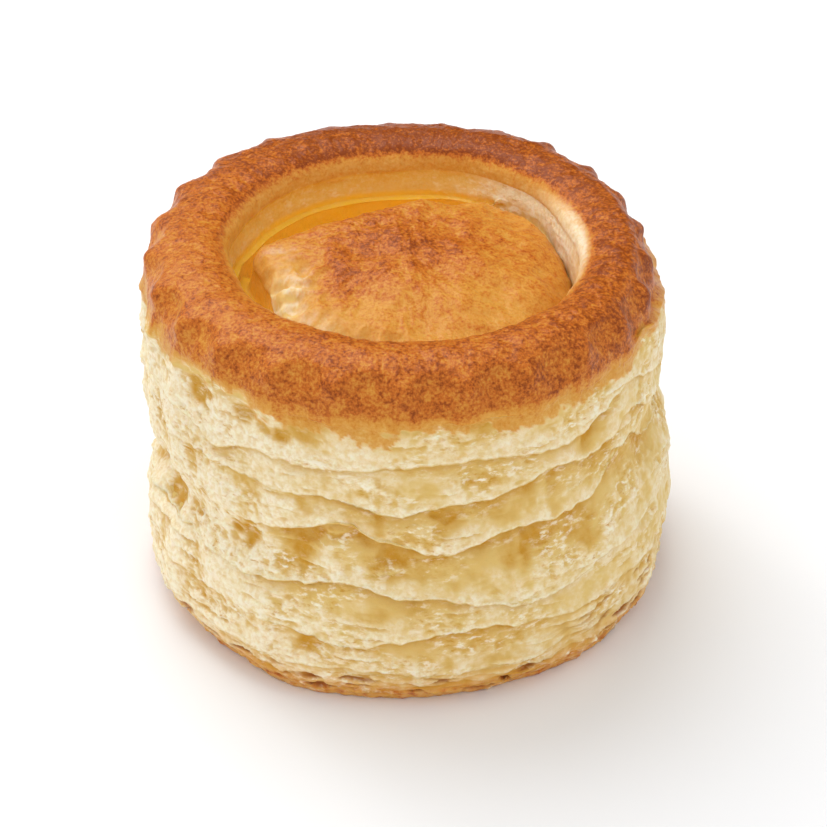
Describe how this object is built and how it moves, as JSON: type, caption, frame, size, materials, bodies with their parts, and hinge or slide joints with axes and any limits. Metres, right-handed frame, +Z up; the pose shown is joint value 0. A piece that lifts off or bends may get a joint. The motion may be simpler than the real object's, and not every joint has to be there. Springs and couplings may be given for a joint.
{
  "type": "vol au vent pastry case",
  "caption": "Round fluted puff pastry case, baked empty, with a golden crown ring, a puffed centre and pale flaky risen sides; made to hold a filling.",
  "frame": {"origin": "centre of the bounding box in plan, on the flat underside that the case rests on", "axes": "+Z up through the crown, -Y towards the side that faces the viewer in the picture, +X to the viewer's right"},
  "size_m": [0.0862, 0.0862, 0.0604],
  "materials": {
    "baked_pastry": "baked puff pastry: satin golden-brown egg-washed crown and centre, dry pale cream flaky wall"
  },
  "bodies": {
    "root": {"pastry_case": "baked_pastry"}
  },
  "joints": []
}
